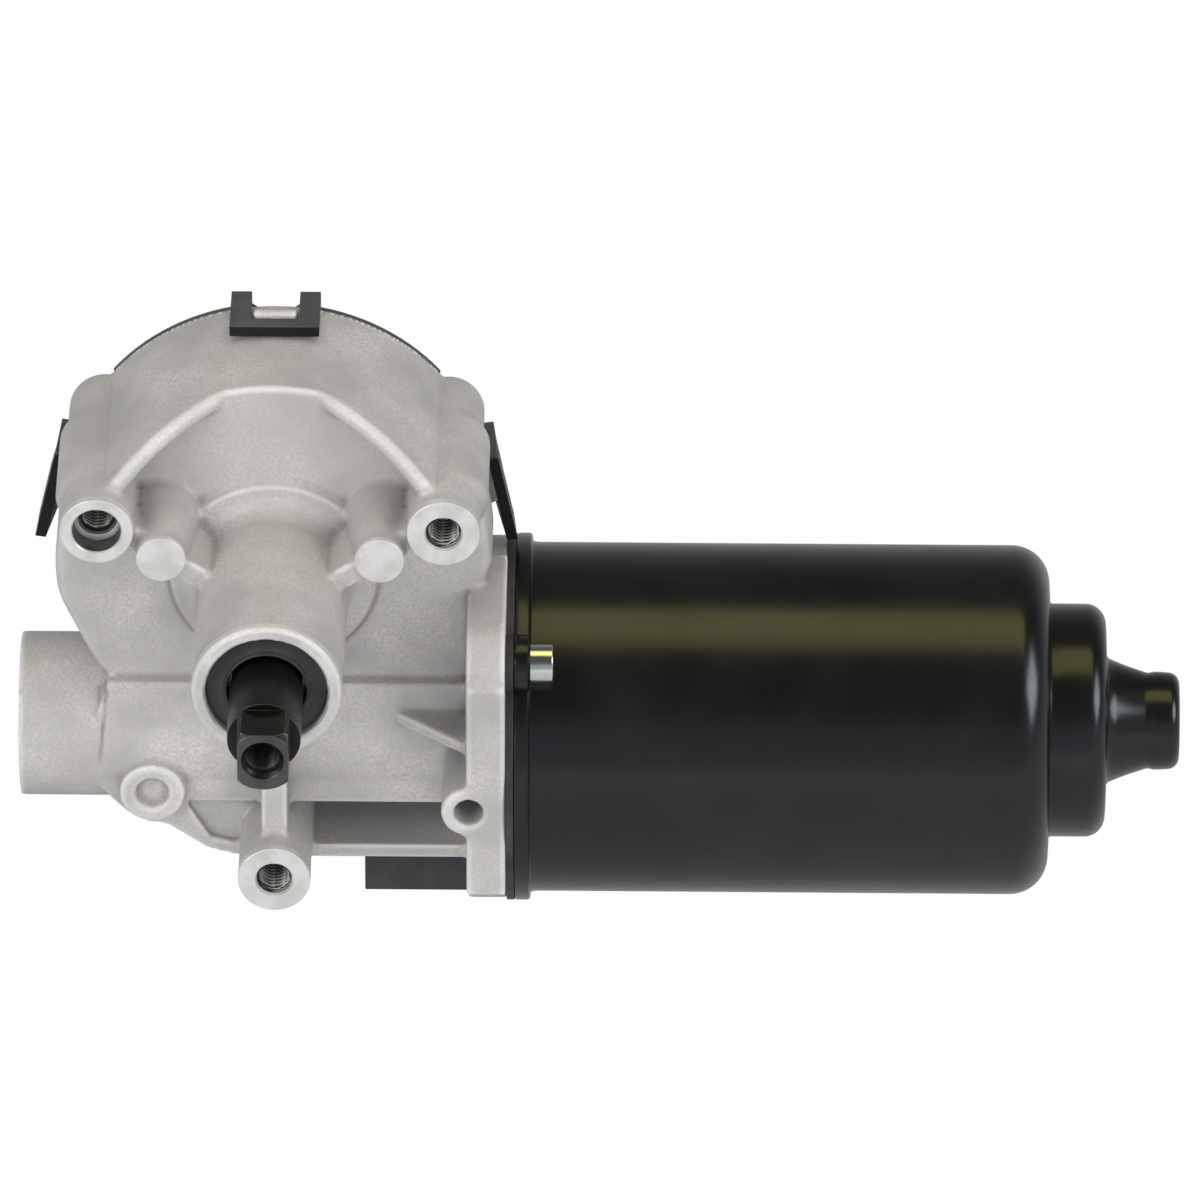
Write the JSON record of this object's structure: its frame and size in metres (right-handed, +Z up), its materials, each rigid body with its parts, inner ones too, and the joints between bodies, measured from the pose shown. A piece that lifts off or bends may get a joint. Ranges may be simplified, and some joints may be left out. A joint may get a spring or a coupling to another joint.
{
  "type": "wiper motor",
  "caption": "Windscreen wiper gear motor: drawn black can, die-cast worm gear housing with threaded mounting bosses, flatted output shaft and clipped rear cover.",
  "frame": {"origin": "on the output shaft's axis, in the plane of the shaft boss's mouth", "axes": "-Y out of the housing along the output shaft, +X along the motor's axis towards the can's nose, +Z up, from the motor's axis towards the output shaft"},
  "size_m": [0.2036, 0.1063, 0.1157],
  "materials": {
    "cast_aluminium": "as cast, fine grain",
    "can_paint": "semi-gloss black",
    "cover_plastic": "matt black",
    "card_plastic": "matt",
    "wheel_plastic": "satin",
    "seal_rubber": "matt",
    "gasket_rubber": "matt",
    "bronze": "sintered",
    "winding_copper": "enamelled",
    "contact_copper": "bright",
    "zinc_steel": "zinc plated",
    "spring_steel": "bright",
    "ground_steel": "ground",
    "bearing_steel": "polished",
    "oxide_steel": "black oxide",
    "core_steel": "varnished sheets",
    "ferrite": "matt",
    "carbon": "matt"
  },
  "bodies": {
    "housing": {"gear_housing": "cast_aluminium", "front_shaft_bush": "bronze", "rear_shaft_bush": "bronze", "shaft_seal": "seal_rubber", "motor_can": "can_paint", "can_gasket": "gasket_rubber", "can_screws": "zinc_steel", "field_magnets": "ferrite", "brush_card": "card_plastic", "brushes": "carbon", "brush_springs": "spring_steel", "worm_end_bush": "bronze", "thrust_plug": "zinc_steel", "can_bush": "bronze", "bearing_outer_race": "bearing_steel", "bearing_balls": "bearing_steel", "bearing_retainer": "spring_steel", "rear_cover": "cover_plastic", "park_contacts": "contact_copper", "connector_socket": "cover_plastic", "connector_pins": "contact_copper"},
    "armature": {"armature_shaft": "ground_steel", "armature_core": "core_steel", "armature_windings": "winding_copper", "commutator": "winding_copper", "bearing_inner_race": "bearing_steel"},
    "output": {"output_shaft": "oxide_steel", "worm_wheel": "wheel_plastic", "wheel_insert": "ground_steel", "park_contact_disc": "contact_copper", "retaining_ring": "spring_steel", "front_washer": "zinc_steel", "wheel_washer": "zinc_steel"}
  },
  "joints": [
    {"name": "armature_spin", "type": "hinge", "parent": "housing", "child": "armature", "pos_m": [0, 0.052, -0.0367], "axis": [1, 0, 0], "continuous": true},
    {"name": "output_spin", "type": "hinge", "parent": "housing", "child": "output", "pos_m": [0, 0, 0], "axis": [0, 1, 0], "continuous": true}
  ],
  "couplings": [
    {"joint": "output_spin", "follows": "armature_spin", "ratio": 0.015625}
  ]
}
